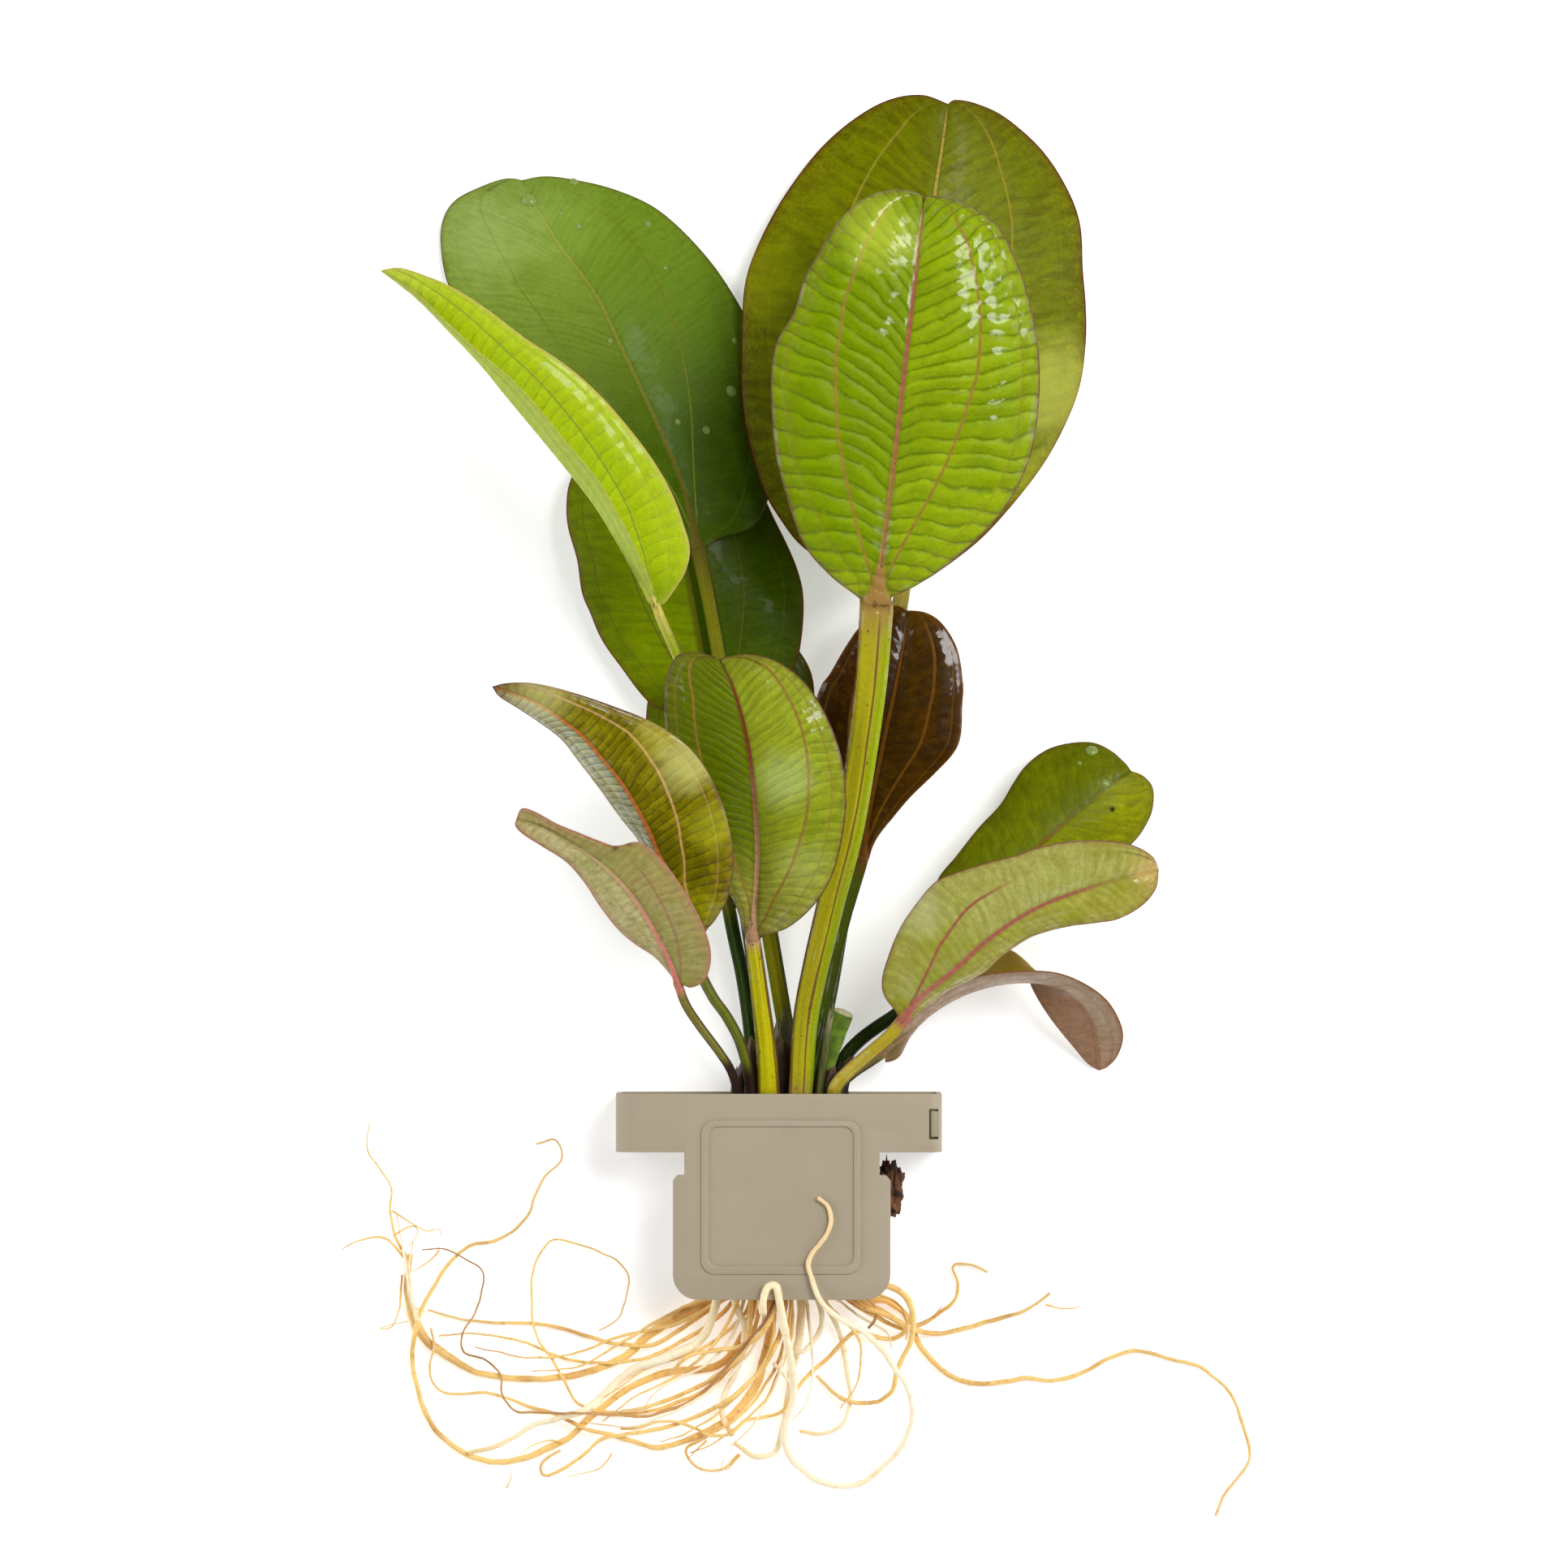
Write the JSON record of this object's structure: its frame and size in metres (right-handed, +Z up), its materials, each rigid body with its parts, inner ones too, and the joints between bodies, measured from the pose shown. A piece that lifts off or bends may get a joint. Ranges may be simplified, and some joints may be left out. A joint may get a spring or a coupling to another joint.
{
  "type": "echinodorus plant",
  "caption": "Bare-rooted sword plant lying on its back: paddle-shaped leaves on long stalks, a short rhizome held by a flat planting clip, and a spray of loose roots.",
  "frame": {"origin": "middle of the bounding box, on the surface that the plant lies on", "axes": "+Y from the roots to the leaf tips, +X to the right as seen from above with the leaf tips up, +Z up from the surface to the viewer"},
  "size_m": [0.1696, 0.2648, 0.0542],
  "materials": {
    "olive_leaf": "satin",
    "young_leaf": "satin",
    "green_leaf": "satin",
    "dark_leaf": "satin",
    "maroon_leaf": "satin",
    "pale_leaf": "satin",
    "crown": "matte",
    "golden_root": "satin",
    "pale_root": "satin",
    "dark_root": "satin",
    "clip_plastic": "matte"
  },
  "bodies": {
    "root": {"leaf_back_right": "olive_leaf", "leaf_front_right": "young_leaf", "leaf_maroon": "maroon_leaf", "leaf_back_left": "green_leaf", "leaf_front_middle": "green_leaf", "leaf_left_edge_on": "young_leaf", "leaf_back_middle": "dark_leaf", "leaf_back_hidden": "dark_leaf", "leaf_left_olive": "olive_leaf", "leaf_left_pale": "pale_leaf", "leaf_right_pale": "pale_leaf", "leaf_right_green": "olive_leaf", "leaf_right_curled": "pale_leaf", "cut_stalk": "green_leaf", "rhizome": "crown", "old_leaf_scrap": "crown", "plant_clip": "clip_plastic", "root_right_long": "golden_root", "root_left_thick": "golden_root", "root_left_fine_up": "golden_root", "root_left_fine_out": "golden_root", "root_left_hook": "golden_root", "root_left_upper": "golden_root", "root_left_second": "golden_root", "root_left_loop": "golden_root", "root_pinkish": "golden_root", "root_left_pale": "pale_root", "root_pale_front": "pale_root", "root_left_middle": "golden_root", "root_golden_short": "golden_root", "root_dark_crossing": "dark_root", "root_low_hook": "golden_root", "root_low_thin": "golden_root", "root_cream_low": "pale_root", "root_cream_bow": "pale_root", "root_middle_curl": "pale_root", "root_right_up": "golden_root", "root_right_out": "golden_root", "root_dark_short": "dark_root", "root_golden_long": "golden_root", "root_right_bow": "golden_root", "root_over_clip": "pale_root"}
  },
  "joints": []
}
